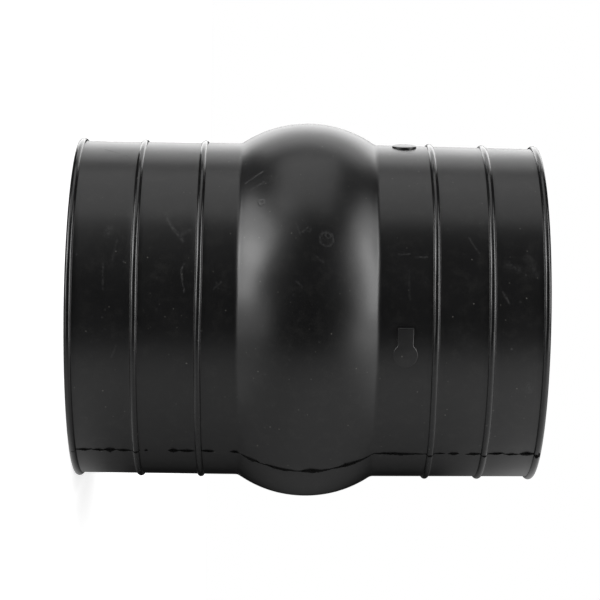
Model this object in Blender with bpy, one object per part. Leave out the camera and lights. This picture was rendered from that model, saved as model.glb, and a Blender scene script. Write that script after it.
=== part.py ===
"""Exhaust bellows: one moulded rubber sleeve, with two plain cuffs and a round flexing hump between them.

The sleeve stands on its lower mouth. The origin is the centre of that mouth, +Z runs up the bore and -Y is
the front. Each cuff slides over the end of a pipe and takes a hose clamp between its ribs. Angles are in
degrees round the bore from the front, anticlockwise as seen from above.
"""

import math

import bmesh
import bpy
from mathutils import Matrix

# The wall, in metres
BORE_RADIUS = 0.0508
WALL = 0.0040
MOUTH_CHAMFER = 0.0006
UPPER_TAKE_IN = 0.0006  # how far the upper cuff has drawn in at its mouth

# The hump between the cuffs
HUMP_SPAN = 0.0454  # from foot to foot
HUMP_HEIGHT = 0.00675
HUMP_FILLET = 0.0030

# The beads: a lip at each mouth and two ribs on each cuff, which keep the clamp in place
BEAD_WIDTH = 0.0022
LIP_HEIGHT = 0.0010
RIB_HEIGHT = 0.00085

# The plain lands of each cuff: from lip to rib, from rib to rib and from rib to hump
LOWER_MOUTH_LAND = 0.0180
LOWER_CLAMP_LAND = 0.0176
LOWER_HUMP_LAND = 0.0101
UPPER_MOUTH_LAND = 0.0147
UPPER_CLAMP_LAND = 0.0151
UPPER_HUMP_LAND = 0.0159

# The low fin that the mould leaves along its two parting lines
SEAM_ANGLES = (51.2, 231.2)
SEAM_HEIGHT = 0.0004
SEAM_THICKNESS = 0.0005
SEAM_END_GAP = 0.0003  # the fins stop this far short of the flat end faces

# The round pad and the key-shaped pad, both near the middle of the upper cuff's land next to the hump
PAD_CHAMFER = 0.0002
ROUND_PAD_ANGLE = -80.2
ROUND_PAD_SHIFT = 0.0005  # up from the middle of the land
ROUND_PAD_RADIUS = 0.00395
ROUND_PAD_HEIGHT = 0.00095
KEY_PAD_ANGLE = 7.1
KEY_PAD_SHIFT = -0.0004
KEY_LENGTH = 0.0128
KEY_STEM_WIDTH = 0.0050
KEY_ROUND_RADIUS = 0.00395
KEY_PAD_HEIGHT = 0.0004

# How finely the round shapes are divided
TURN_STEPS = 72
HUMP_STEPS = 10
FILLET_STEPS = 3
BEAD_STEPS = 4
PAD_STEPS = 24
SHARP_EDGE_ANGLE = 35

# Heights up the bore, and the hump's arc, which runs into the cuffs through its fillets
CUFF_RADIUS = BORE_RADIUS + WALL
LOWER_FOOT = BEAD_WIDTH * 3 + LOWER_MOUTH_LAND + LOWER_CLAMP_LAND + LOWER_HUMP_LAND
UPPER_FOOT = LOWER_FOOT + HUMP_SPAN
LENGTH = UPPER_FOOT + UPPER_HUMP_LAND + UPPER_CLAMP_LAND + UPPER_MOUTH_LAND + BEAD_WIDTH * 3
HUMP_MIDDLE = LOWER_FOOT + HUMP_SPAN / 2
PAD_MIDDLE = UPPER_FOOT + UPPER_HUMP_LAND / 2
HUMP_ARC = ((HUMP_SPAN / 2) ** 2 + HUMP_HEIGHT**2) / (2 * HUMP_HEIGHT) - HUMP_FILLET
HUMP_CENTRE = CUFF_RADIUS + HUMP_HEIGHT - HUMP_ARC
HUMP_SWEEP = math.asin(HUMP_SPAN / 2 / (HUMP_ARC + HUMP_FILLET))


def clear_scene():
    for thing in list(bpy.data.objects):
        bpy.data.objects.remove(thing)


def steps(start, end, count):
    """Evenly spaced values from start to end, both included."""
    return [start + (end - start) * i / count for i in range(count + 1)]


def wall_line(depth):
    """The section at this depth in the wall, without beads, as (height, radius) points from mouth to mouth."""
    fillet = HUMP_FILLET + depth
    arc = HUMP_ARC - depth
    foot = [
        (fillet * math.sin(turn), CUFF_RADIUS + HUMP_FILLET - fillet * math.cos(turn))
        for turn in steps(0, HUMP_SWEEP, FILLET_STEPS)
    ]
    hump = [
        (HUMP_MIDDLE + arc * math.sin(turn), HUMP_CENTRE + arc * math.cos(turn))
        for turn in steps(-HUMP_SWEEP, HUMP_SWEEP, HUMP_STEPS)[1:-1]
    ]
    return [
        (0, CUFF_RADIUS - depth),
        *[(LOWER_FOOT + rise, radius) for rise, radius in foot],
        *hump,
        *[(UPPER_FOOT - rise, radius) for rise, radius in reversed(foot)],
        (LENGTH, CUFF_RADIUS - depth),
    ]


def bead(start, height):
    """A half-round bead on the cuff's outside, as (height, radius) points from its lower edge up."""
    half = BEAD_WIDTH / 2
    return [
        (start + half + half * math.sin(turn), CUFF_RADIUS + height * math.cos(turn))
        for turn in steps(-math.pi / 2, math.pi / 2, BEAD_STEPS)
    ]


def outer_line():
    """The sleeve's outside from the lower mouth to the upper one, with its lips and ribs."""
    lower_rib = BEAD_WIDTH + LOWER_MOUTH_LAND
    upper_rib = UPPER_FOOT + UPPER_HUMP_LAND
    return [
        *bead(0, LIP_HEIGHT),
        *bead(lower_rib, RIB_HEIGHT),
        *bead(lower_rib + BEAD_WIDTH + LOWER_CLAMP_LAND, RIB_HEIGHT),
        *wall_line(0)[1:-1],
        *bead(upper_rib, RIB_HEIGHT),
        *bead(upper_rib + BEAD_WIDTH + UPPER_CLAMP_LAND, RIB_HEIGHT),
        *bead(LENGTH - BEAD_WIDTH, LIP_HEIGHT),
    ]


def bore_line():
    """The sleeve's inside from mouth to mouth, with both mouths chamfered."""
    return [
        (0, BORE_RADIUS + MOUTH_CHAMFER),
        (MOUTH_CHAMFER, BORE_RADIUS),
        *wall_line(WALL)[1:-1],
        (LENGTH - MOUTH_CHAMFER, BORE_RADIUS),
        (LENGTH, BORE_RADIUS + MOUTH_CHAMFER),
    ]


def drawn_in(height):
    """How far inwards the wall lies at this height: the upper cuff narrows evenly towards its mouth."""
    return UPPER_TAKE_IN * max(0.0, (height - UPPER_FOOT) / (LENGTH - UPPER_FOOT))


def section_points(line, lift=0.0):
    """Points in the XZ plane for a line of (height, radius) pairs, with the upper cuff drawn in."""
    return [(radius + lift - drawn_in(height), 0, height) for height, radius in line]


def object_from(bm, name):
    bmesh.ops.recalc_face_normals(bm, faces=bm.faces)
    mesh = bpy.data.meshes.new(name)
    bm.to_mesh(mesh)
    bm.free()
    made = bpy.data.objects.new(name, mesh)
    bpy.context.scene.collection.objects.link(made)
    return made


def turned_sleeve():
    """The sleeve's section, turned about the bore."""
    bm = bmesh.new()
    loop = section_points(outer_line()) + section_points(reversed(bore_line()))
    points = [bm.verts.new(point) for point in loop]
    for i, point in enumerate(points):
        bm.edges.new((points[i - 1], point))
    bmesh.ops.spin(
        bm,
        geom=bm.verts[:] + bm.edges[:],
        axis=(0, 0, 1),
        angle=2 * math.pi,
        steps=TURN_STEPS,
        use_merge=True,
    )
    return object_from(bm, "bellows_sleeve")


def raise_face(bm, face, offset):
    """Extrudes a face by an offset, and gives the new face at its end."""
    grown = bmesh.ops.extrude_face_region(bm, geom=[face])["geom"]
    corners = [item for item in grown if isinstance(item, bmesh.types.BMVert)]
    bmesh.ops.translate(bm, verts=corners, vec=offset)
    return next(item for item in grown if isinstance(item, bmesh.types.BMFace))


def seam_fin(angle):
    """A thin plate at one parting line, from the middle of the wall to just above the outside."""
    bm = bmesh.new()
    outside = section_points(outer_line(), lift=SEAM_HEIGHT)
    inside = section_points(reversed(wall_line(WALL / 2)))
    low, high = SEAM_END_GAP, LENGTH - SEAM_END_GAP
    outline = [(x, -SEAM_THICKNESS / 2, min(max(z, low), high)) for x, _, z in outside + inside]
    plate = bm.faces.new([bm.verts.new(corner) for corner in outline])
    raise_face(bm, plate, (0, SEAM_THICKNESS, 0))
    fin = object_from(bm, f"seam_fin_{angle:.0f}")
    fin.rotation_euler.z = math.radians(angle - 90)
    return fin


def round_outline():
    """The round pad's outline, as (across the cuff, up the cuff) points."""
    return [
        (ROUND_PAD_RADIUS * math.cos(turn), ROUND_PAD_RADIUS * math.sin(turn))
        for turn in steps(0, 2 * math.pi, PAD_STEPS)[:-1]
    ]


def key_outline():
    """The key pad's outline: a straight stem that runs into a round end."""
    half_stem = KEY_STEM_WIDTH / 2
    round_middle = KEY_LENGTH / 2 - KEY_ROUND_RADIUS
    neck = math.pi - math.asin(half_stem / KEY_ROUND_RADIUS)
    around = [
        (round_middle + KEY_ROUND_RADIUS * math.cos(turn), KEY_ROUND_RADIUS * math.sin(turn))
        for turn in steps(-neck, neck, PAD_STEPS)
    ]
    return [(-KEY_LENGTH / 2, half_stem), (-KEY_LENGTH / 2, -half_stem), *around]


def raised_pad(name, outline, angle, middle, height):
    """A flat-topped pad that grows out of the wall, with a chamfer round its top."""
    floor = CUFF_RADIUS - WALL / 2
    shoulder = CUFF_RADIUS - drawn_in(middle) + height - PAD_CHAMFER
    bm = bmesh.new()
    base = bm.faces.new([bm.verts.new((across, up, floor)) for across, up in outline])
    top = raise_face(bm, base, (0, 0, shoulder - floor))
    bmesh.ops.recalc_face_normals(bm, faces=bm.faces)
    bmesh.ops.inset_region(bm, faces=[top], thickness=PAD_CHAMFER, depth=PAD_CHAMFER)
    pad = object_from(bm, name)
    face_front = Matrix.Rotation(math.radians(90), 4, "X")
    turn_round = Matrix.Rotation(math.radians(angle), 4, "Z")
    pad.matrix_world = Matrix.Translation((0, 0, middle)) @ turn_round @ face_front
    return pad


def join(body, addition):
    """Unites a helper solid with the body, and keeps the helper out of the render."""
    union = body.modifiers.new(addition.name, "BOOLEAN")
    union.operation = "UNION"
    union.solver = "EXACT"
    union.object = addition
    addition.hide_render = True
    addition.display_type = "WIRE"


def moulded_rubber():
    """Black moulded rubber with a satin skin."""
    material = bpy.data.materials.new("moulded_rubber")
    material.use_nodes = True
    shader = material.node_tree.nodes["Principled BSDF"]
    shader.inputs["Base Color"].default_value = (0.011, 0.011, 0.012, 1)
    shader.inputs["Roughness"].default_value = 0.4
    shader.inputs["Metallic"].default_value = 0
    return material


def build():
    clear_scene()
    sleeve = turned_sleeve()
    round_middle = PAD_MIDDLE + ROUND_PAD_SHIFT
    key_middle = PAD_MIDDLE + KEY_PAD_SHIFT
    additions = [
        *[seam_fin(angle) for angle in SEAM_ANGLES],
        raised_pad("round_pad", round_outline(), ROUND_PAD_ANGLE, round_middle, ROUND_PAD_HEIGHT),
        raised_pad("key_pad", key_outline(), KEY_PAD_ANGLE, key_middle, KEY_PAD_HEIGHT),
    ]
    for addition in additions:
        join(sleeve, addition)
    sleeve.data.materials.append(moulded_rubber())
    sleeve.data.shade_smooth()
    sleeve.data.set_sharp_from_angle(angle=math.radians(SHARP_EDGE_ANGLE))


build()
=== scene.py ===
# %% [markdown]
# # An exhaust bellows of black moulded rubber
#
# The real thing is a short, fat sleeve of black rubber that joins two exhaust pipes. Each end is
# a plain cuff that slides over a pipe and is clamped between two raised ribs, and the round hump
# between the cuffs flexes. It is moulded in one piece, so its shape comes from one mould: what is
# worth modelling is the section of its wall, the two small pads on one cuff, and the thin, torn
# flash that the mould leaves along its parting lines.
#
# The imported CAD model is loaded first. It is the frame that every piece here has to fit, so its
# box is read straight after loading.

# %% Load the frame
import bisect
import math
import random

import bpy
from mathutils import Matrix, Vector


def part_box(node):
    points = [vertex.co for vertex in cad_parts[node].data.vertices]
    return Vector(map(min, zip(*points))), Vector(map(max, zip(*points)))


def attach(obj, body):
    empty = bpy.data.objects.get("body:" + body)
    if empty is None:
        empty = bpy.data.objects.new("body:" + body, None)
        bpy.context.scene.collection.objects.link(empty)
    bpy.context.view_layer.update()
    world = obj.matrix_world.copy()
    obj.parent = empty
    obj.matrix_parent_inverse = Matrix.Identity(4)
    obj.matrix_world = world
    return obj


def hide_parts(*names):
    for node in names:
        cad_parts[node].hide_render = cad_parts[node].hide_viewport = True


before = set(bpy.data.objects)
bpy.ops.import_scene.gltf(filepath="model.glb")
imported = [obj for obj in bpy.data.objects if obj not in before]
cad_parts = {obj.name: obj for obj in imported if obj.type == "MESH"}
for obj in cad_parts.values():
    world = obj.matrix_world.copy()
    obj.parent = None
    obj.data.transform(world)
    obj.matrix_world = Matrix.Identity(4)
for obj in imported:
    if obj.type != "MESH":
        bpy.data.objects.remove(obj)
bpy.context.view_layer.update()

# %% [markdown]
# ## Sizes
#
# Everything is in metres in Blender, but rubber mouldings are drawn in millimetres, so the sizes
# are written in millimetres and turned into metres when a mesh is made. The length and the hump's
# radius are read from the CAD node. The other sizes are the same named sizes that the CAD source
# uses.

# %% Sizes of the sleeve
# All in millimetres. A middle or a foot is a height above the lower mouth.
MM = 0.001
SLEEVE = "bellows_sleeve"
sleeve_low, sleeve_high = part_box(SLEEVE)
LENGTH = (sleeve_high[2] - sleeve_low[2]) / MM
HUMP_RADIUS = sleeve_high[0] / MM
BORE_RADIUS = 50.8
WALL = 4.0
CUFF_RADIUS = BORE_RADIUS + WALL
MOUTH_ROUNDING = 0.6
UPPER_TAKE_IN = 0.6
HUMP_FEET = (52.3, 97.7)
HUMP_FILLET = 3.0
BEAD_HALF_WIDTH = 1.1
LIP_HEIGHT = 1.0
RIB_HEIGHT = 0.85
RIB_MIDDLES = (21.3, 41.1, 114.7, 132.0)
print(f"The sleeve is {LENGTH:.1f} mm long and {2 * HUMP_RADIUS:.1f} mm over its hump.")

# %% [markdown]
# ## The section of the wall
#
# On the real sleeve the section is cut into the mould on a lathe: straight lands, half-round
# beads with a small concave foot, and a hump whose arc runs into the cuffs through fillets. A
# modifier such as Bevel could round a rough section, but then the roundings can't be told apart.
# So the section is written as a list of points, one short function for each form, and every
# rounding has the radius that the mould's cutter gave it.

# %% Lines and arcs as points
def steps(start, end, count):
    """Evenly spaced values from start to end, both included."""
    return [start + (end - start) * i / count for i in range(count + 1)]


def arc(middle, radius, start, end, count):
    """Points on an arc, as (height, radius) pairs. Zero degrees points straight out of the bore."""
    height, out = middle
    turns = [math.radians(turn) for turn in steps(start, end, count)]
    return [(height + radius * math.sin(turn), out + radius * math.cos(turn)) for turn in turns]


BEAD_FOOT_RADIUS = 0.12
BEAD_STEPS = 18
FOOT_STEPS = 4


def bead(middle, tall, lower_foot=True, upper_foot=True):
    """A bead round the cuff: part of a circle that meets the cuff through a small concave foot."""
    bow = (BEAD_HALF_WIDTH**2 + tall**2) / (2 * tall)
    core = CUFF_RADIUS + tall - bow
    reach = math.sqrt((bow + BEAD_FOOT_RADIUS) ** 2 - (bow + BEAD_FOOT_RADIUS - tall) ** 2)
    turn = math.degrees(math.asin(reach / (bow + BEAD_FOOT_RADIUS)))
    side = math.degrees(math.asin(BEAD_HALF_WIDTH / bow))
    foot_centre = CUFF_RADIUS + BEAD_FOOT_RADIUS
    start = -turn if lower_foot else -side
    end = turn if upper_foot else side
    points = arc((middle, core), bow, start, end, BEAD_STEPS)
    if lower_foot:
        lower = (middle - reach, foot_centre)
        foot = arc(lower, BEAD_FOOT_RADIUS, 180, 180 - turn, FOOT_STEPS)
        points = foot[:-1] + points
    if upper_foot:
        upper = (middle + reach, foot_centre)
        foot = arc(upper, BEAD_FOOT_RADIUS, 180 + turn, 180, FOOT_STEPS)
        points = points + foot[1:]
    return points


def hump(depth, hump_count, fillet_count):
    """The hump's section at this depth in the wall, with its fillets into both cuffs."""
    lower, upper = HUMP_FEET
    half_span = (upper - lower) / 2
    tall = HUMP_RADIUS - CUFF_RADIUS
    bow = (half_span**2 + tall**2) / (2 * tall) - HUMP_FILLET
    sweep = math.degrees(math.asin(half_span / (bow + HUMP_FILLET)))
    crown = arc(((lower + upper) / 2, HUMP_RADIUS - bow), bow - depth, -sweep, sweep, hump_count)
    fillet_out = CUFF_RADIUS + HUMP_FILLET
    start = arc((lower, fillet_out), HUMP_FILLET + depth, 180, 180 - sweep, fillet_count)
    end = arc((upper, fillet_out), HUMP_FILLET + depth, 180 + sweep, 180, fillet_count)
    return start[:-1] + crown + end[1:]


def with_lands(forms, spacing):
    """Joins the forms with straight lands, which get a point about every spacing millimetres."""
    points = list(forms[0])
    for form in forms[1:]:
        (z0, r0), (z1, r1) = points[-1], form[0]
        count = max(1, round(abs(z1 - z0) / spacing))
        for i in range(1, count):
            points.append((z0 + (z1 - z0) * i / count, r0 + (r1 - r0) * i / count))
        points += form
    return points


# %% The outside and the bore
# The bore is seen through the mouths alone, so its points lie further apart.
OUTSIDE_SPACING = 1.6
BORE_SPACING = 4.0
ROUNDING_STEPS = 4
END_FACE_STEPS = 4
beads = [bead(middle, RIB_HEIGHT) for middle in RIB_MIDDLES]
outside = with_lands(
    [
        bead(BEAD_HALF_WIDTH, LIP_HEIGHT, lower_foot=False),
        *beads[:2],
        hump(0, hump_count=64, fillet_count=8),
        *beads[2:],
        bead(LENGTH - BEAD_HALF_WIDTH, LIP_HEIGHT, upper_foot=False),
    ],
    spacing=OUTSIDE_SPACING,
)
mouth = BORE_RADIUS + MOUTH_ROUNDING
bore = with_lands(
    [
        arc((MOUTH_ROUNDING, mouth), MOUTH_ROUNDING, 270, 180, ROUNDING_STEPS),
        hump(WALL, hump_count=28, fillet_count=4),
        arc((LENGTH - MOUTH_ROUNDING, mouth), MOUTH_ROUNDING, 180, 90, ROUNDING_STEPS),
    ],
    spacing=BORE_SPACING,
)
end_face = steps(mouth, CUFF_RADIUS, END_FACE_STEPS)[1:-1]
lower_face = [(0, radius) for radius in end_face]
upper_face = [(LENGTH, radius) for radius in reversed(end_face)]
section = lower_face + outside + upper_face + bore[::-1]
print(f"The section has {len(section)} points, {len(outside)} of them outside.")

# %% [markdown]
# ## Turning the section into the sleeve
#
# Blender's Screw modifier or `bmesh.ops.spin` would turn the section about the bore, but both
# give a perfectly true tube. Real rubber comes out of a hot mould a little soft and cools
# unevenly: the upper cuff has drawn in at its mouth, and the ribs waver by a tenth of a
# millimetre. So the points are worked out one ring at a time, and one function moves each point
# by that small amount, always inwards, so that the sleeve stays inside the CAD model's box.

# %% Where a point of the skin lies
TURNS = 240
SINK = 0.02  # mm, for each of the two waves
WAVER = 0.1  # mm


def drawn_in(height):
    """How far inwards the wall lies, in mm, because the upper cuff narrows towards its mouth."""
    start = HUMP_FEET[1]
    return UPPER_TAKE_IN * min(1.0, max(0.0, (height - start) / (LENGTH - start)))


def slack(angle, height):
    """How far the rubber has sunk: two slow waves round the sleeve, which drift up its length."""
    wave = math.sin(3 * angle + 0.045 * height + 0.6) + math.sin(5 * angle - 0.07 * height + 2.1)
    return SINK * (2 - wave)


def waver(angle, height):
    """How far the ribs wander up or down. It fades out at the mouths, which are cut straight."""
    fade = math.sin(math.pi * min(1.0, max(0.0, height / LENGTH)))
    slow = math.sin(4 * angle + 0.09 * height)
    quick = math.sin(9 * angle - 0.21 * height)
    return WAVER * fade * (slow + 0.6 * quick)


def skin_point(angle, height, radius):
    """A point in metres. The angle is in radians from the front (-Y), anticlockwise from above."""
    out = radius - drawn_in(height) - slack(angle, height)
    up = height + waver(angle, height)
    return Vector((out * math.sin(angle), -out * math.cos(angle), up)) * MM


def mesh_object(name, points, faces):
    """A smooth mesh object in the scene, made from points in metres and faces."""
    mesh = bpy.data.meshes.new(name)
    mesh.from_pydata(points, [], faces)
    mesh.validate()
    mesh.shade_smooth()
    made = bpy.data.objects.new(name, mesh)
    bpy.context.scene.collection.objects.link(made)
    return made


# %% Turn the section
ring = len(section)
sleeve_points = [
    skin_point(2 * math.pi * turn / TURNS, height, radius)
    for turn in range(TURNS)
    for height, radius in section
]
sleeve_faces = [
    (
        turn * ring + i,
        (turn + 1) % TURNS * ring + i,
        (turn + 1) % TURNS * ring + (i + 1) % ring,
        turn * ring + (i + 1) % ring,
    )
    for turn in range(TURNS)
    for i in range(ring)
]
sleeve = mesh_object("moulded_sleeve", sleeve_points, sleeve_faces)
print(f"The sleeve has {2 * len(sleeve_faces)} triangles.")

# %% [markdown]
# ## Where the mould was polished
#
# The lips and ribs shine more than the cuffs between them: their grooves were polished in the
# mould, so that the sleeve strips out of it. The material has to know where they are. A second
# material would leave a hard edge, so each point of the mesh keeps a number instead, 1 on a bead
# and 0 elsewhere, and the material reads it.

# %% Mark the beads for the material
POLISHED_ABOVE = CUFF_RADIUS + 0.1


def on_a_bead(height, radius):
    """1 on a lip or a rib, and 0 on the cuffs, the hump and the bore."""
    on_hump = HUMP_FEET[0] < height < HUMP_FEET[1]
    return float(radius > POLISHED_ABOVE and not on_hump)


on_bead = [on_a_bead(height, radius) for height, radius in section]
polish = sleeve.data.attributes.new("polish", "FLOAT", "POINT")
polish.data.foreach_set("value", on_bead * TURNS)
print(f"{int(sum(on_bead))} of the section's {len(section)} points lie on a bead.")

# %% [markdown]
# ## The two pads
#
# Near the hump the mould has two shallow pockets, which leave a round pad and a key-shaped pad on
# the cuff. Each pocket has a flat floor, so each pad has a flat top, though the cuff is round. A
# Boolean could cut them into the sleeve's mesh, but it would leave long thin triangles that catch
# the light. Here each pad is a closed solid of its own with a rounded top edge, sunk into the
# wall.

# %% Pads
# Angles in degrees from the front, the rest in millimetres.
PAD_MIDDLE = (HUMP_FEET[1] + RIB_MIDDLES[2] - BEAD_HALF_WIDTH) / 2
ROUND_PAD = dict(angle=-83.1, middle=PAD_MIDDLE + 0.5, tall=0.55, tilt=0)
KEY_PAD = dict(angle=6.65, middle=PAD_MIDDLE - 0.4, tall=0.33, tilt=5)
PAD_RADIUS = 3.95
KEY_LENGTH = 12.8
STEM_HALF_WIDTH = 2.5
PAD_EDGE = 0.4
PAD_SUNK = 2.0
PAD_ROUND_STEPS = 64
KEY_ROUND_STEPS = 48
PAD_EDGE_STEPS = 4
SHARP_EDGE = 35


def round_outline(shrink):
    """The round pad's outline, as (across, up) points, drawn in by an amount."""
    radius = PAD_RADIUS - shrink
    turns = steps(0, 2 * math.pi, PAD_ROUND_STEPS)[:-1]
    return [(radius * math.cos(turn), radius * math.sin(turn)) for turn in turns]


def key_outline(shrink):
    """The key pad's outline: a straight stem that runs into a round end."""
    half_stem = STEM_HALF_WIDTH - shrink
    radius = PAD_RADIUS - shrink
    round_middle = KEY_LENGTH / 2 - PAD_RADIUS
    neck = math.pi - math.asin(half_stem / radius)
    end = -KEY_LENGTH / 2 + shrink
    around = [
        (round_middle + radius * math.cos(turn), radius * math.sin(turn))
        for turn in steps(-neck, neck, KEY_ROUND_STEPS)
    ]
    return [(end, half_stem), (end, -half_stem), *around]


def raised_pad(name, outline, angle, middle, tall, tilt):
    """A pad with a flat top: rings of its outline, from inside the wall over a rounded edge.

    The tilt, in degrees, turns the pad about its middle, so that one side stands prouder.
    """
    top = CUFF_RADIUS - drawn_in(middle) + tall
    levels = [(0, CUFF_RADIUS - PAD_SUNK)]
    for turn in steps(0, math.pi / 2, PAD_EDGE_STEPS):
        shrink = PAD_EDGE * (1 - math.cos(turn))
        levels.append((shrink, top - PAD_EDGE * (1 - math.sin(turn))))
    points, faces = [], []
    for shrink, out in levels:
        points += [Vector((across, -out, up)) * MM for across, up in outline(shrink)]
    count = len(points) // len(levels)
    for level in range(len(levels) - 1):
        for i in range(count):
            j = (i + 1) % count
            below, above = level * count, (level + 1) * count
            faces.append((below + i, below + j, above + j, above + i))
    faces.append(tuple(reversed(range(count))))
    faces.append(tuple(range(len(points) - count, len(points))))
    pad = mesh_object(name, points, faces)
    centre = Vector((0, -top, 0)) * MM
    tip = Matrix.Rotation(math.radians(tilt), 4, "Z")
    tilted = Matrix.Translation(centre) @ tip @ Matrix.Translation(-centre)
    place = Matrix.Translation((0, 0, middle * MM)) @ Matrix.Rotation(math.radians(angle), 4, "Z")
    pad.data.transform(place @ tilted)
    pad.data.set_sharp_from_angle(angle=math.radians(SHARP_EDGE))
    print(f"{name} stands {tall} mm above the cuff.")
    return pad


round_pad = raised_pad("round_pad", round_outline, **ROUND_PAD)
key_pad = raised_pad("key_pad", key_outline, **KEY_PAD)

# %% [markdown]
# ## The flash on the parting lines
#
# Rubber creeps into the gap where the two halves of the mould meet. When the sleeve is stripped
# out, that thin skin tears off by hand and leaves a ragged fin, standing in some stretches and
# gone in others. A displaced edge could suggest it, but torn rubber has thin, leaning, uneven
# tips. So each stretch is a closed strip of its own: its base is sunk in the wall, and its tip
# wanders in height and leans to one side.

# %% Strips of flash
PARTING_ANGLES = (50.7, 230.7)
FLASH_SUNK = 0.5
FLASH_STEP = 0.3
# A stretch rises steeply from a low, thin end.
END_TALL = 0.12
END_THIN = 0.35
END_SLOPE = 2.2
# Its tip leans by a few tenths of a millimetre, and each step keeps most of the lean before it.
LEAN_AT_START = 0.2
LEAN_CHANGE = 0.12
LEAN_KEPT = 0.8
LEAN_OF_BASE = 0.05
LOWEST_TIP = 0.65
CREST_SHARE = 0.55
out_heights = [height for height, radius in outside]


def outside_radius(height):
    """The outside's radius at a height, between the points of the section."""
    i = min(max(bisect.bisect_left(out_heights, height), 1), len(outside) - 1)
    (z0, r0), (z1, r1) = outside[i - 1], outside[i]
    share = min(1.0, max(0.0, (height - z0) / (z1 - z0))) if z1 > z0 else 0.0
    return r0 + (r1 - r0) * share


def flash_strip(points, faces, angle, stretch, chance):
    """Adds one torn stretch: (start, end, height, thickness, shift round the sleeve), in mm."""
    start, end, tall, thick, shift = stretch
    count = max(4, round((end - start) / FLASH_STEP))
    lean = chance.uniform(-LEAN_AT_START, LEAN_AT_START)
    first = len(points)
    for i, height in enumerate(steps(start, end, count)):
        taper = min(1.0, END_SLOPE * min(i, count - i) / count + END_TALL)
        lean = LEAN_KEPT * lean + chance.uniform(-LEAN_CHANGE, LEAN_CHANGE)
        tip = tall * taper * chance.uniform(LOWEST_TIP, 1.0)
        half = thick / 2 * (END_THIN + (1 - END_THIN) * taper)
        base = outside_radius(height) - FLASH_SUNK
        crest = outside_radius(height) + tip
        middle = math.radians(angle) + (shift + LEAN_OF_BASE * lean) / CUFF_RADIUS
        tilt = lean / CUFF_RADIUS
        thin = CREST_SHARE * half
        for out, side in ((base, -half), (crest, -thin), (crest, thin), (base, half)):
            turn = middle + side / out + (tilt if out == crest else 0)
            points.append(skin_point(turn, height, out))
    for i in range(count):
        near, far = first + 4 * i, first + 4 * (i + 1)
        for a, b in ((0, 1), (1, 2), (2, 3), (3, 0)):
            faces.append((near + a, near + b, far + b, far + a))
    faces.append((first + 3, first + 2, first + 1, first))
    last = first + 4 * count
    faces.append((last, last + 1, last + 2, last + 3))


# Stretches as (start, end, height, thickness, shift). The front ones follow the photograph.
FRONT_FLASH = [
    (0.4, 2.1, 0.1, 0.2, 0.1),
    (1.8, 7.8, 0.5, 0.42, -0.3),
    (7.3, 11.4, 0.5, 0.42, 0.0),
    (11.0, 14.9, 0.95, 0.8, 0.0),
    (12.6, 13.5, 0.6, 0.6, 0.8),
    (14.7, 20.0, 0.5, 0.4, 0.0),
    (20.0, 22.6, 0.3, 0.5, 0.1),
    (23.9, 25.1, 0.5, 0.5, 0.0),
    (31.4, 34.8, 0.8, 0.8, 0.0),
    (34.2, 40.0, 0.55, 0.5, 0.0),
    (42.0, 46.3, 0.55, 0.5, 0.0),
    (51.0, 54.2, 0.5, 0.6, 0.0),
    (54.4, 61.0, 0.6, 0.8, 0.0),
    (60.0, 74.0, 0.5, 0.45, 0.0),
    (72.6, 83.5, 0.7, 0.7, 0.0),
    (74.2, 79.6, 0.8, 0.9, -0.2),
    (83.0, 96.5, 0.6, 0.6, 0.0),
    (85.5, 92.5, 0.75, 0.7, -0.1),
    (95.6, 113.4, 0.55, 0.5, 0.0),
    (113.2, 116.2, 0.35, 0.5, 0.2),
    (115.8, 119.6, 0.3, 0.3, -0.1),
    (120.4, 124.0, 0.6, 0.8, -0.2),
    (126.0, 131.3, 0.5, 0.5, 0.1),
    (131.0, 133.2, 0.35, 0.5, 0.2),
    (133.0, 138.6, 0.5, 0.55, -0.2),
    (138.2, 143.4, 0.4, 0.4, 0.2),
    (143.2, 148.0, 0.85, 1.1, -0.3),
    (147.4, 149.6, 0.8, 0.7, -0.2),
    (149.1, 149.9, 1.0, 1.6, -1.2),
]
BACK_FLASH = [
    (0.5, 7.2, 0.4, 0.4, 0.0),
    (9.5, 19.4, 0.5, 0.45, 0.1),
    (20.2, 22.6, 0.3, 0.4, 0.0),
    (24.0, 33.6, 0.4, 0.4, -0.1),
    (36.4, 47.5, 0.5, 0.45, 0.0),
    (50.2, 70.6, 0.5, 0.45, 0.0),
    (70.0, 79.4, 0.7, 0.6, 0.0),
    (79.0, 97.2, 0.5, 0.45, 0.0),
    (99.6, 112.8, 0.45, 0.4, 0.1),
    (114.0, 130.4, 0.5, 0.45, 0.0),
    (131.2, 141.0, 0.35, 0.4, -0.1),
    (142.6, 149.5, 0.6, 0.6, 0.0),
]


def flash_line(name, angle, stretches, seed):
    """All the torn stretches along one parting line, as one mesh."""
    chance = random.Random(seed)
    points, faces = [], []
    for stretch in stretches:
        flash_strip(points, faces, angle, stretch, chance)
    line = mesh_object(name, points, faces)
    line.data.shade_flat()
    print(f"{name} has {len(stretches)} torn stretches.")
    return line


front_flash = flash_line("front_flash", PARTING_ANGLES[0], FRONT_FLASH, seed=4)
back_flash = flash_line("back_flash", PARTING_ANGLES[1], BACK_FLASH, seed=9)

# %% [markdown]
# ## Moulded rubber
#
# The sleeve is EPDM rubber, filled with carbon black and cured in a steel mould. Carbon black
# swallows nearly all of the light that enters, so the colour is close to black, and what the eye
# sees is the soft gloss of the skin. Rubber's index of refraction is about 1.5. The mould was
# turned and then lightly blasted, so the skin is satin, with a fine grain.

# %% Helpers for colours and nodes
def linear(hex_colour):
    """An sRGB hex colour as the linear red, green, blue and alpha that Blender works with."""
    parts = [int(hex_colour[i : i + 2], 16) / 255 for i in (1, 3, 5)]
    return (*[p / 12.92 if p <= 0.04045 else ((p + 0.055) / 1.055) ** 2.4 for p in parts], 1)


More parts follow.
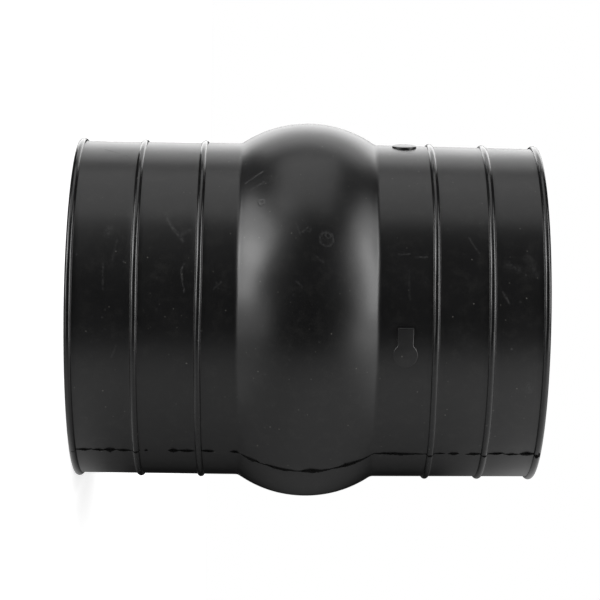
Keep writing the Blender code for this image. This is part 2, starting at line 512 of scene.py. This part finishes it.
def add_node(tree, kind, settings=None, links=None):
    """Adds a node, sets its properties, and fills its inputs with values or other outputs."""
    made = tree.nodes.new(kind)
    for name, value in (settings or {}).items():
        setattr(made, name, value)
    for name, value in (links or {}).items():
        if isinstance(value, bpy.types.NodeSocket):
            tree.links.new(value, made.inputs[name])
        else:
            made.inputs[name].default_value = value
    return made


def new_material(name):
    """An empty material with its Principled shader, ready for nodes."""
    material = bpy.data.materials.new(name)
    material.use_nodes = True
    return material, material.node_tree, material.node_tree.nodes["Principled BSDF"]


# %% The blasted skin and the polished beads
# The grain of a lightly blasted mould is about 0.1 mm. It would not show, so it is drawn at
# about 0.5 mm.
GRAINS_PER_MM = 1.8
GRAIN_DEPTH = 0.02
GRAIN_ON_BLASTED = 0.3
GRAIN_ON_POLISHED = 0.02
# The tone and the gloss drift slowly, in patches of about 15 mm.
PATCHES_PER_MM = 0.06
PATCH_EDGES = (0.3, 0.7)
RUBBER_IOR = 1.5
BLASTED_ROUGHNESS = (0.295, 0.325)
POLISHED_ROUGHNESS = 0.2
rubber, tree, shader = new_material("moulded_epdm_rubber")
shader.inputs["IOR"].default_value = RUBBER_IOR
shader.inputs["Metallic"].default_value = 0
place = add_node(tree, "ShaderNodeTexCoord").outputs["Object"]
place_mm = add_node(
    tree, "ShaderNodeVectorMath", {"operation": "SCALE"}, {0: place, "Scale": 1 / MM}
).outputs[0]
grain = add_node(
    tree,
    "ShaderNodeTexNoise",
    {},
    {"Vector": place_mm, "Scale": GRAINS_PER_MM, "Detail": 2, "Roughness": 0.6},
).outputs["Fac"]
cloud = add_node(
    tree,
    "ShaderNodeTexNoise",
    {},
    {"Vector": place_mm, "Scale": PATCHES_PER_MM, "Detail": 3, "Roughness": 0.55},
).outputs["Fac"]
tone = add_node(
    tree,
    "ShaderNodeMix",
    {"data_type": "RGBA"},
    {0: cloud, 6: linear("#0c0c0c"), 7: linear("#101011")},
).outputs[2]
blasted = add_node(
    tree,
    "ShaderNodeMapRange",
    {},
    {
        "Value": cloud,
        "From Min": PATCH_EDGES[0],
        "From Max": PATCH_EDGES[1],
        "To Min": BLASTED_ROUGHNESS[0],
        "To Max": BLASTED_ROUGHNESS[1],
    },
).outputs[0]
polished = add_node(tree, "ShaderNodeAttribute", {"attribute_name": "polish"}).outputs["Fac"]
roughness = add_node(
    tree, "ShaderNodeMix", {"data_type": "FLOAT"}, {0: polished, 2: blasted, 3: POLISHED_ROUGHNESS}
).outputs[0]
grain_strength = add_node(
    tree,
    "ShaderNodeMix",
    {"data_type": "FLOAT"},
    {0: polished, 2: GRAIN_ON_BLASTED, 3: GRAIN_ON_POLISHED},
).outputs[0]
bump = add_node(
    tree,
    "ShaderNodeBump",
    {},
    {"Height": grain, "Strength": grain_strength, "Distance": GRAIN_DEPTH * MM},
).outputs[0]

# %% [markdown]
# ## Marks on the skin
#
# Rubber marks easily. Boxes and other sleeves have scuffed this one, small bubbles in the mould
# have left round dents, and dust sticks to it. The marks are thinner than the mesh's faces, so
# the material draws them. Each is a straight stroke, a dot or a ring on the skin rolled flat,
# where a place is a height and a distance round the sleeve in millimetres. A scuff is paler and
# duller than the skin: it shows pale in the dark parts, and dark where the skin mirrors a lamp. A
# painted image could hold them all, but nodes keep every mark in millimetres.

# %% The skin rolled flat
split = add_node(tree, "ShaderNodeSeparateXYZ", {}, {0: place_mm}).outputs
front = add_node(
    tree, "ShaderNodeMath", {"operation": "MULTIPLY"}, {0: split["Y"], 1: -1}
).outputs[0]
turn = add_node(
    tree, "ShaderNodeMath", {"operation": "ARCTAN2"}, {0: split["X"], 1: front}
).outputs[0]
around = add_node(
    tree, "ShaderNodeMath", {"operation": "MULTIPLY"}, {0: turn, 1: CUFF_RADIUS}
).outputs[0]
flat = add_node(tree, "ShaderNodeCombineXYZ", {}, {"X": split["Z"], "Y": around}).outputs[0]
# A noise shakes each place by half a millimetre or so, so that no stroke is quite straight.
SHAKES_PER_MM = 0.9
SHAKE = (0.9, 0.9, 0)
shake = add_node(
    tree, "ShaderNodeTexNoise", {}, {"Vector": place_mm, "Scale": SHAKES_PER_MM, "Detail": 2}
).outputs["Color"]
skin = add_node(
    tree, "ShaderNodeVectorMath", {"operation": "MULTIPLY_ADD"}, {0: shake, 1: SHAKE, 2: flat}
).outputs[0]

# %% One mark as a group of nodes
mark = bpy.data.node_groups.new("mark", "ShaderNodeTree")
for name, kind in (
    ("Skin", "NodeSocketVector"),
    ("Start", "NodeSocketVector"),
    ("End", "NodeSocketVector"),
    ("Radius", "NodeSocketFloat"),
    ("Width", "NodeSocketFloat"),
    ("Strength", "NodeSocketFloat"),
    ("Before", "NodeSocketFloat"),
):
    mark.interface.new_socket(name, in_out="INPUT", socket_type=kind)
mark.interface.new_socket("Mask", in_out="OUTPUT", socket_type="NodeSocketFloat")
given = add_node(mark, "NodeGroupInput").outputs
stroke = add_node(
    mark, "ShaderNodeVectorMath", {"operation": "SUBTRACT"}, {0: given["End"], 1: given["Start"]}
).outputs[0]
here = add_node(
    mark, "ShaderNodeVectorMath", {"operation": "SUBTRACT"}, {0: given["Skin"], 1: given["Start"]}
).outputs[0]
square = add_node(
    mark, "ShaderNodeVectorMath", {"operation": "DOT_PRODUCT"}, {0: stroke, 1: stroke}
).outputs["Value"]
ahead = add_node(
    mark, "ShaderNodeVectorMath", {"operation": "DOT_PRODUCT"}, {0: here, 1: stroke}
).outputs["Value"]
share = add_node(
    mark, "ShaderNodeMath", {"operation": "DIVIDE", "use_clamp": True}, {0: ahead, 1: square}
).outputs[0]
nearest = add_node(
    mark, "ShaderNodeVectorMath", {"operation": "SCALE"}, {0: stroke, "Scale": share}
).outputs[0]
away = add_node(
    mark, "ShaderNodeVectorMath", {"operation": "DISTANCE"}, {0: here, 1: nearest}
).outputs["Value"]
off_ring = add_node(
    mark, "ShaderNodeMath", {"operation": "SUBTRACT"}, {0: away, 1: given["Radius"]}
).outputs[0]
off_line = add_node(mark, "ShaderNodeMath", {"operation": "ABSOLUTE"}, {0: off_ring}).outputs[0]
fading = add_node(
    mark,
    "ShaderNodeMapRange",
    {},
    {"Value": off_line, "From Max": given["Width"], "To Min": given["Strength"], "To Max": 0},
).outputs[0]
strongest = add_node(
    mark, "ShaderNodeMath", {"operation": "MAXIMUM"}, {0: fading, 1: given["Before"]}
).outputs[0]
add_node(mark, "NodeGroupOutput", {}, {"Mask": strongest})


def draw_mark(before, start, end, width, strength, radius=0):
    """Adds a mark between two places: heights in mm and angles in degrees from the front."""
    places = [(height, math.radians(angle) * CUFF_RADIUS, 0) for height, angle in (start, end)]
    return add_node(
        tree,
        "ShaderNodeGroup",
        {"node_tree": mark},
        {
            "Skin": skin,
            "Start": places[0],
            "End": places[1],
            "Radius": radius,
            "Width": width,
            "Strength": strength,
            "Before": before,
        },
    ).outputs[0]


# %% Scratches, specks and smudges
# Scratches as (height, angle, height, angle, strength). Real ones are about 0.1 mm wide: these
# are drawn 0.45 mm wide, so that they show.
SCRATCH_WIDTH = 0.45
SCRATCHES = [
    (55.7, -49.7, 60.7, -52.3, 0.9),
    (57.3, -45.7, 61.1, -47.2, 0.6),
    (12.2, -19.0, 12.4, -10.5, 0.3),
    (16.3, -27.2, 15.0, -20.0, 0.2),
    (37.2, -19.3, 36.3, -17.3, 0.6),
    (36.3, -17.3, 36.7, -14.0, 0.6),
    (36.7, -14.0, 37.3, -10.0, 0.6),
    (46.5, -11.2, 48.7, -13.5, 0.5),
    (47.0, -13.6, 47.8, -11.6, 0.3),
    (103.4, -23.6, 106.8, -23.7, 0.45),
    (108.6, -22.7, 112.0, -22.8, 0.45),
    (106.4, -18.0, 106.8, -8.5, 0.2),
    (125.1, -29.7, 128.1, -24.4, 0.3),
    (135.4, -11.5, 137.3, -8.0, 0.45),
    (15.0, 11.6, 16.9, 7.3, 0.3),
    (5.1, 34.5, 7.0, 34.5, 0.4),
    (9.8, -72.6, 14.6, -69.0, 0.9),
    (13.3, -64.1, 16.9, -67.3, 0.8),
    (16.9, -67.3, 19.1, -62.9, 0.8),
    (34.3, -64.1, 36.5, -65.6, 0.8),
    (73.6, -27.7, 75.2, -29.4, 0.35),
    (71.5, -30.3, 72.9, -26.6, 0.3),
    (77.1, -20.8, 79.8, -18.6, 0.3),
    (71.7, -13.1, 73.6, -11.2, 0.35),
]
# Specks as (height, angle, strength).
SPECK_WIDTH = 0.5
SPECKS = [
    (61.1, -47.5, 1.0),
    (71.3, -20.7, 0.4),
    (71.1, -9.1, 0.4),
    (61.8, 0.0, 0.4),
    (78.9, 4.2, 0.5),
    (70.1, 9.9, 0.5),
    (62.6, 14.9, 0.35),
    (75.0, 26.9, 0.4),
    (18.7, -19.7, 0.5),
    (4.2, -21.8, 0.5),
    (13.2, -4.0, 0.5),
    (12.3, -1.5, 0.5),
    (13.2, 2.4, 0.5),
    (8.9, 6.4, 0.5),
    (29.0, -14.6, 0.4),
    (29.1, -4.3, 0.4),
    (24.0, 3.2, 0.4),
    (99.0, -47.6, 0.4),
    (118.7, -32.9, 0.35),
    (142.5, -17.2, 0.5),
    (145.5, -51.6, 0.5),
    (140.7, -8.3, 0.5),
    (138.5, 7.1, 0.9),
]
# Smudges as (height, angle, height, angle, width, strength).
SMUDGES = [
    (13.6, -31.5, 13.2, -29.0, 1.6, 0.25),
    (30.8, -37.0, 32.8, -32.5, 0.9, 0.4),
    (32.8, -32.5, 35.4, -28.9, 0.8, 0.5),
    (35.4, -28.9, 36.7, -27.0, 0.8, 0.45),
    (36.4, -29.6, 38.7, -31.0, 1.0, 0.25),
    (137.0, -20.5, 140.2, -19.0, 1.8, 0.25),
    (143.2, -23.0, 146.0, -17.5, 2.0, 0.2),
    (121.0, 1.0, 126.0, 5.5, 3.0, 0.1),
    (144.2, 19.8, 144.6, 21.4, 1.6, 0.45),
]
scuffed = 0
for z0, a0, z1, a1, strength in SCRATCHES:
    scuffed = draw_mark(scuffed, (z0, a0), (z1, a1), SCRATCH_WIDTH, strength)
for z0, a0, strength in SPECKS:
    scuffed = draw_mark(scuffed, (z0, a0), (z0, a0), SPECK_WIDTH, strength)
for z0, a0, z1, a1, width, strength in SMUDGES:
    scuffed = draw_mark(scuffed, (z0, a0), (z1, a1), width, strength)
print(f"The skin has {len(SCRATCHES)} scratches, {len(SPECKS)} specks and {len(SMUDGES)} smudges.")

# %% Bubble dents
# As (height, angle, radius of the rim, width of the rim, strength). The rim is rubbed pale too.
RUBBED_RIM = 0.6
BUBBLES = [
    (81.0, -25.8, 2.1, 0.6, 0.5),
    (81.4, -27.0, 0.8, 0.4, 0.6),
    (60.5, -39.2, 0.7, 0.6, 0.6),
    (75.2, -28.6, 0.6, 0.5, 0.4),
]
dented = 0
for z0, a0, radius, width, strength in BUBBLES:
    dented = draw_mark(dented, (z0, a0), (z0, a0), width, strength, radius)
    scuffed = draw_mark(scuffed, (z0, a0), (z0, a0), width, RUBBED_RIM * strength, radius)
print(f"Small bubbles left {len(BUBBLES)} dents.")

# %% [markdown]
# ## Dust
#
# Rubber holds a charge, so dust settles on it: single specks, and a thin film that lies in
# drifts. It is pale grey and quite dull. Real dust would be thousands of tiny meshes; a pattern
# of dots and a slow noise do the same.

# %% Dust
# One dot to each cell 3.3 mm wide, of which the skin meets one or two to the square centimetre.
# Each is 0.2 to 0.6 mm across. The film lies in drifts 3 to 5 mm wide.
DOTS_PER_MM = 0.3
DOT_EDGE = (0.1, 0.3)
DRIFTS_PER_MM = 0.22
DRIFT_EDGES = (0.5, 0.75)
THICKEST_FILM = 0.07
dots = add_node(
    tree, "ShaderNodeTexVoronoi", {}, {"Vector": place_mm, "Scale": DOTS_PER_MM}
).outputs
near = add_node(
    tree,
    "ShaderNodeMapRange",
    {},
    {
        "Value": dots["Distance"],
        "From Min": DOT_EDGE[0] * DOTS_PER_MM,
        "From Max": DOT_EDGE[1] * DOTS_PER_MM,
        "To Min": 1,
        "To Max": 0,
    },
).outputs[0]
specks = add_node(
    tree, "ShaderNodeMath", {"operation": "MULTIPLY"}, {0: near, 1: dots["Color"]}
).outputs[0]
drift = add_node(
    tree,
    "ShaderNodeTexNoise",
    {},
    {"Vector": place_mm, "Scale": DRIFTS_PER_MM, "Detail": 6, "Roughness": 0.8},
).outputs["Fac"]
film = add_node(
    tree,
    "ShaderNodeMapRange",
    {},
    {
        "Value": drift,
        "From Min": DRIFT_EDGES[0],
        "From Max": DRIFT_EDGES[1],
        "To Max": THICKEST_FILM,
    },
).outputs[0]
dust = add_node(
    tree, "ShaderNodeMath", {"operation": "MAXIMUM"}, {0: specks, 1: film}
).outputs[0]

# %% Put the marks on the rubber
# A scuff leaves crumbs and gaps, so a noise of about 0.8 mm wears it away in places.
CRUMBS_PER_MM = 1.3
GAP_EDGES = (0.38, 0.62)
LEFT_IN_GAPS = 0.15
SCUFFED_ROUGHNESS = 0.6
DENT_DEPTH = 0.05
crumble = add_node(
    tree, "ShaderNodeTexNoise", {}, {"Vector": place_mm, "Scale": CRUMBS_PER_MM, "Detail": 3}
).outputs["Fac"]
left_over = add_node(
    tree,
    "ShaderNodeMapRange",
    {},
    {
        "Value": crumble,
        "From Min": GAP_EDGES[0],
        "From Max": GAP_EDGES[1],
        "To Min": LEFT_IN_GAPS,
    },
).outputs[0]
scuffed = add_node(
    tree, "ShaderNodeMath", {"operation": "MULTIPLY"}, {0: scuffed, 1: left_over}
).outputs[0]
pale = add_node(
    tree, "ShaderNodeMix", {"data_type": "RGBA"}, {0: scuffed, 6: tone, 7: linear("#383838")}
).outputs[2]
dusty = add_node(
    tree, "ShaderNodeMix", {"data_type": "RGBA"}, {0: dust, 6: pale, 7: linear("#5a5955")}
).outputs[2]
dull = add_node(
    tree,
    "ShaderNodeMix",
    {"data_type": "FLOAT"},
    {0: scuffed, 2: roughness, 3: SCUFFED_ROUGHNESS},
).outputs[0]
relief = add_node(
    tree,
    "ShaderNodeBump",
    {"invert": True},
    {"Height": dented, "Strength": 1, "Distance": DENT_DEPTH * MM, "Normal": bump},
).outputs[0]
tree.links.new(dusty, shader.inputs["Base Color"])
tree.links.new(dull, shader.inputs["Roughness"])
tree.links.new(relief, shader.inputs["Normal"])
print(f"{rubber.name} has {len(tree.nodes)} nodes.")

# %% [markdown]
# ## Torn rubber
#
# Where the flash tore off, the rubber never touched the mould. Its surface is rough and full of
# tiny pits, so it has next to no gloss. It gets a material of its own: the same rubber, at
# roughness 0.7 and with most of its mirror turned off, because pits that small hide the light that
# they mirror. Its colour is also painted darker than the skin's: that is painted shade, for the
# shadow that lies along the thin fin and in its pits.

# %% The torn flash's finish, with painted shade
# The pits are about 0.1 mm. Their painted shade is drawn at 0.4 mm, so that it shows.
PITS_PER_MM = 2.5
TORN_ROUGHNESS = 0.7
TORN_MIRROR = 0.1
torn, tree, shader = new_material("torn_rubber_painted_shade")
shader.inputs["IOR"].default_value = RUBBER_IOR
shader.inputs["Specular IOR Level"].default_value = TORN_MIRROR
place = add_node(tree, "ShaderNodeTexCoord").outputs["Object"]
pit_shade = add_node(
    tree, "ShaderNodeTexNoise", {}, {"Vector": place, "Scale": PITS_PER_MM / MM, "Detail": 2}
).outputs["Fac"]
# Painted shade: the torn rubber is drawn darker than the skin, for the shadow along the fin and in
# its pits.
tone = add_node(
    tree,
    "ShaderNodeMix",
    {"data_type": "RGBA"},
    {0: pit_shade, 6: linear("#060606"), 7: linear("#0e0e0e")},
).outputs[2]
tree.links.new(tone, shader.inputs["Base Color"])
shader.inputs["Roughness"].default_value = TORN_ROUGHNESS
print(f"{torn.name} has roughness {TORN_ROUGHNESS}, the polished beads {POLISHED_ROUGHNESS}.")

# %% [markdown]
# ## Into the frame
#
# Every piece rides on the part's one body and takes the place of its one CAD node. The sleeve and
# the pads are of the moulded rubber, the two strips of flash of the torn rubber.

# %% Give the pieces their finish and their place in the frame
for piece, finish in (
    (sleeve, rubber),
    (round_pad, rubber),
    (key_pad, rubber),
    (front_flash, torn),
    (back_flash, torn),
):
    piece.data.materials.append(finish)
    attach(piece, "root")
    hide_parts(SLEEVE)
    print(f"{piece.name} is of {finish.name}.")

# %% [markdown]
# ## Studio
#
# The photograph was taken with the sleeve lying on its side, so its right is our up and its up is
# our -X. The lamps are placed by the direction in which the picture shows them, seen from the
# sleeve: azimuth 0 is the camera, plus is the picture's right, and elevation is the picture's up.
#
# Black rubber shows little but what it mirrors, so each lamp is set where a reflection on the
# sleeve points to: a tall softbox on the left and one on the right, each with a wider, weaker
# glow round it, a soft light overhead, and the lit backdrop behind, which the skin mirrors along
# its upper edge. A single photographed sky could stand for all of them, but area lamps can be
# moved and dimmed one at a time.

# %% How a lamp is placed
AIM = Vector((0, 0, LENGTH / 2)) * MM
LAMP_DISTANCE = 1.3
WATTS_FOR_WHITE = 4


def picture_direction(azimuth, elevation):
    """The direction in our frame of what the picture shows at this azimuth and elevation."""
    az, el = math.radians(azimuth), math.radians(elevation)
    return Vector((-math.sin(el), -math.cos(el) * math.cos(az), math.cos(el) * math.sin(az)))


def softbox(name, azimuth, elevation, wide, tall, brightness):
    """A lamp that faces the sleeve and spans wide by tall degrees. Its brightness 1 is white."""
    out = picture_direction(azimuth, elevation)
    az = math.radians(azimuth)
    side = Vector((0, math.sin(az), math.cos(az)))
    light = bpy.data.lights.new(name, "AREA")
    light.shape = "RECTANGLE"
    light.size = 2 * LAMP_DISTANCE * math.tan(math.radians(wide / 2))
    light.size_y = 2 * LAMP_DISTANCE * math.tan(math.radians(tall / 2))
    light.energy = WATTS_FOR_WHITE * light.size * light.size_y * brightness
    lamp = bpy.data.objects.new(name, light)
    bpy.context.scene.collection.objects.link(lamp)
    turn = Matrix((side, out.cross(side), out)).transposed().to_4x4()
    lamp.matrix_world = Matrix.Translation(AIM + LAMP_DISTANCE * out) @ turn
    lamp.visible_camera = False


# %% The studio's lamps
# Each as (name, azimuth, elevation, width, height, brightness), the angles in degrees.
LAMPS = [
    ("left_softbox", -63, 22, 24, 30, 4.5),
    ("left_softbox_top", -70, 40, 44, 26, 3.0),
    ("left_softbox_high", -58, 64, 26, 14, 0.7),
    ("left_softbox_spill", -56, 2, 44, 22, 1.0),
    ("right_softbox", 65, 18, 15, 36, 4.8),
    ("right_softbox_wide", 66, 15, 43, 58, 1.3),
    ("right_softbox_top", 78, 42, 28, 18, 2.2),
    ("overhead_softbox", 0, 90, 40, 46, 0.9),
    ("backdrop_glow", 174, 23, 56, 24, 2.05),
    ("backdrop_top", 174, 46, 48, 24, 1.1),
    ("front_fill", -36, 46, 30, 38, 0.25),
]
for lamp in LAMPS:
    softbox(*lamp)
print(f"The studio has {len(LAMPS)} lamps, {LAMP_DISTANCE} m from the sleeve.")

# %% [markdown]
# ## The white table
#
# In the photograph the sleeve lies on a white table, and its skin mirrors that table: bright a
# hand's width away, and darker towards the line where the sleeve touches it and keeps the light
# off. A real table would stand in the way in other views. So this is a sheet of light where the
# table's top was, beside the standing sleeve. It can't be seen, it casts no shadow, and what lies
# behind it shines through. Its brightness is worked out for each of its points: how much open sky
# the table sees there past the sleeve, and how far the lamps reach.

# %% How bright the table is
TABLE_SIDE = HUMP_RADIUS + 0.2


def blend(value, low, high):
    """0 below the low value and 1 above the high one, with a smooth change between them."""
    share = min(1.0, max(0.0, (value - low) / (high - low)))
    return share * share * (3 - 2 * share)


def table_brightness(height, toward):
    """How bright the table is, by the height up the sleeve and the way to the camera, in mm."""
    # The sleeve hides the sky from the table beside it, and no longer does past its ends.
    open_sky = toward**2 / (toward**2 + CUFF_RADIUS**2)
    past_end = max(blend(-height, -17, 16), blend(height, 114, 182))
    lit = 1 - (1 - open_sky) * (1 - past_end)
    # It is darker beside the lower end than beside the upper one.
    below_middle = 0.35 * blend(-height, -5, 60)
    above_middle = 0.2 * blend(height, 50, 80) + 0.2 * blend(height, 150, 210)
    middle_to_ends = 0.95 - below_middle + above_middle
    # Towards the camera it darkens, but not straight below the lamps on both sides.
    to_camera = blend(abs(toward), 0, 300)
    to_lamps = blend(abs(height - LENGTH / 2) / (abs(toward) + 60), 0.3, 0.8)
    # Behind the sleeve it fades out, so that the sheet's edge doesn't show in other views.
    from_behind = blend(toward, -40, 10)
    return lit * middle_to_ends * from_behind * (1 - to_camera * (1 - to_lamps))


# %% The table's sheet
# The sheet's points lie closer together near the sleeve, where its brightness changes fastest.
towards = [*range(-40, 90, 5), *range(90, 540, 30)]
heights = [*range(-420, -40, 38), *range(-40, 190, 10), *range(190, 570, 38)]
row = len(heights)
table_faces = [
    (i * row + j, i * row + j + 1, (i + 1) * row + j + 1, (i + 1) * row + j)
    for i in range(len(towards) - 1)
    for j in range(row - 1)
]
table = mesh_object(
    "table_light",
    [Vector((TABLE_SIDE, -toward, height)) * MM for toward in towards for height in heights],
    table_faces,
)
print(f"The table's light has {len(table_faces)} faces.")

# %% The table's finish
brightness = table.data.attributes.new("brightness", "FLOAT", "POINT")
brightness.data.foreach_set("value", [table_brightness(h, t) for t in towards for h in heights])
table.visible_camera = False
table.visible_shadow = False
table_finish, tree, shader = new_material("lit_table_sheet")
level = add_node(tree, "ShaderNodeAttribute", {"attribute_name": "brightness"}).outputs["Fac"]
lit = add_node(tree, "ShaderNodeEmission", {}, {"Strength": level}).outputs[0]
clear = add_node(tree, "ShaderNodeBsdfTransparent").outputs[0]
both = add_node(tree, "ShaderNodeAddShader", {}, {0: lit, 1: clear}).outputs[0]
tree.links.new(both, tree.nodes["Material Output"].inputs["Surface"])
tree.nodes.remove(shader)
table.data.materials.append(table_finish)

# %% [markdown]
# ## Floor and background
#
# The photograph's background is plain white. The floor is pale grey and gives off a little light
# of its own to the camera alone: near the sleeve just enough to reach white where the lamps reach
# it too, so that the sleeve's soft shadow stays, and far away enough to be white by itself, so
# that no edge shows. The left lamps stand below the floor, because the photograph's left is our
# down, so the floor lets their light through.
#
# The world is white to the camera, and through glass. To the rubber it is nearly black. Black
# rubber in a white room would look grey, and in the photograph most of the skin mirrors a dark
# studio: the lamps and the table's sheet of light stand for all that it mirrors.

# %% Floor
FLOOR_HALF = 1.2
FLOOR_ROUGHNESS = 0.9
SHADOW_EDGES = (0.055, 0.14)
OWN_LIGHT = (0.72, 1.0)
floor = mesh_object(
    "pale_floor",
    [(x * FLOOR_HALF, y * FLOOR_HALF, 0) for x, y in ((-1, -1), (1, -1), (1, 1), (-1, 1))],
    [(0, 1, 2, 3)],
)
floor.visible_glossy = False
floor.visible_shadow = False
floor_finish, tree, shader = new_material("pale_floor")
shader.inputs["Base Color"].default_value = linear("#c8c8c8")
shader.inputs["Roughness"].default_value = FLOOR_ROUGHNESS
shader.inputs["Specular IOR Level"].default_value = 0
seen = add_node(tree, "ShaderNodeLightPath").outputs["Is Camera Ray"]
place = add_node(tree, "ShaderNodeTexCoord").outputs["Object"]
far = add_node(tree, "ShaderNodeVectorMath", {"operation": "LENGTH"}, {0: place}).outputs["Value"]
white = add_node(
    tree,
    "ShaderNodeMapRange",
    {},
    {
        "Value": far,
        "From Min": SHADOW_EDGES[0],
        "From Max": SHADOW_EDGES[1],
        "To Min": OWN_LIGHT[0],
        "To Max": OWN_LIGHT[1],
    },
).outputs[0]
glow = add_node(
    tree, "ShaderNodeMath", {"operation": "MULTIPLY"}, {0: seen, 1: white}
).outputs[0]
shader.inputs["Emission Color"].default_value = (1, 1, 1, 1)
tree.links.new(glow, shader.inputs["Emission Strength"])
floor.data.materials.append(floor_finish)
print(f"The floor is {2 * FLOOR_HALF} m wide.")

# %% World
DARK_STUDIO = 0.01
world = bpy.context.scene.world or bpy.data.worlds.new("studio")
bpy.context.scene.world = world
world.use_nodes = True
tree = world.node_tree
background = tree.nodes["Background"]
rays = add_node(tree, "ShaderNodeLightPath").outputs
shown = add_node(
    tree,
    "ShaderNodeMath",
    {"operation": "MAXIMUM"},
    {0: rays["Is Camera Ray"], 1: rays["Is Transmission Ray"]},
).outputs[0]
strength = add_node(
    tree, "ShaderNodeMapRange", {}, {"Value": shown, "To Min": DARK_STUDIO, "To Max": 1.0}
).outputs[0]
background.inputs["Color"].default_value = (1, 1, 1, 1)
tree.links.new(strength, background.inputs["Strength"])
print(f"The studio's darkness is {DARK_STUDIO}, where white is 1.")

# %% [markdown]
# ## Camera
#
# The camera's place was fitted to the sleeve's outline: the two mouths and the ribs, which bend
# more towards the picture's sides, tell how far away it stood. It is on its side, because the
# sleeve stands on end here. A Track To constraint would aim it too, but it can't give the small
# roll that the outline asks for, so its three axes are worked out from where it stands and what
# it looks at.

# %% Camera
CAMERA_PLACE = Vector((-68.61, -728.7, 67.94)) * MM
CAMERA_AIM = Vector((-3.18, 0, 72.9)) * MM
CAMERA_ROLL = 0.0151
CAMERA_LENS = 132.3
SENSOR_WIDTH = 36
back = (CAMERA_PLACE - CAMERA_AIM).normalized()
level = Vector((-1, 0, 0)).cross(back).normalized()
rise = back.cross(level)
right = math.cos(CAMERA_ROLL) * level + math.sin(CAMERA_ROLL) * rise
up = -math.sin(CAMERA_ROLL) * level + math.cos(CAMERA_ROLL) * rise
view = bpy.data.cameras.new("camera")
view.sensor_width = SENSOR_WIDTH
view.lens = CAMERA_LENS
camera = bpy.data.objects.new("camera", view)
bpy.context.scene.collection.objects.link(camera)
turned = Matrix((right, up, back)).transposed().to_4x4()
camera.matrix_world = Matrix.Translation(CAMERA_PLACE) @ turned
bpy.context.scene.camera = camera
bpy.context.scene.view_settings.view_transform = "Standard"
print(f"The camera stands {(CAMERA_PLACE - CAMERA_AIM).length:.3f} m from what it looks at.")
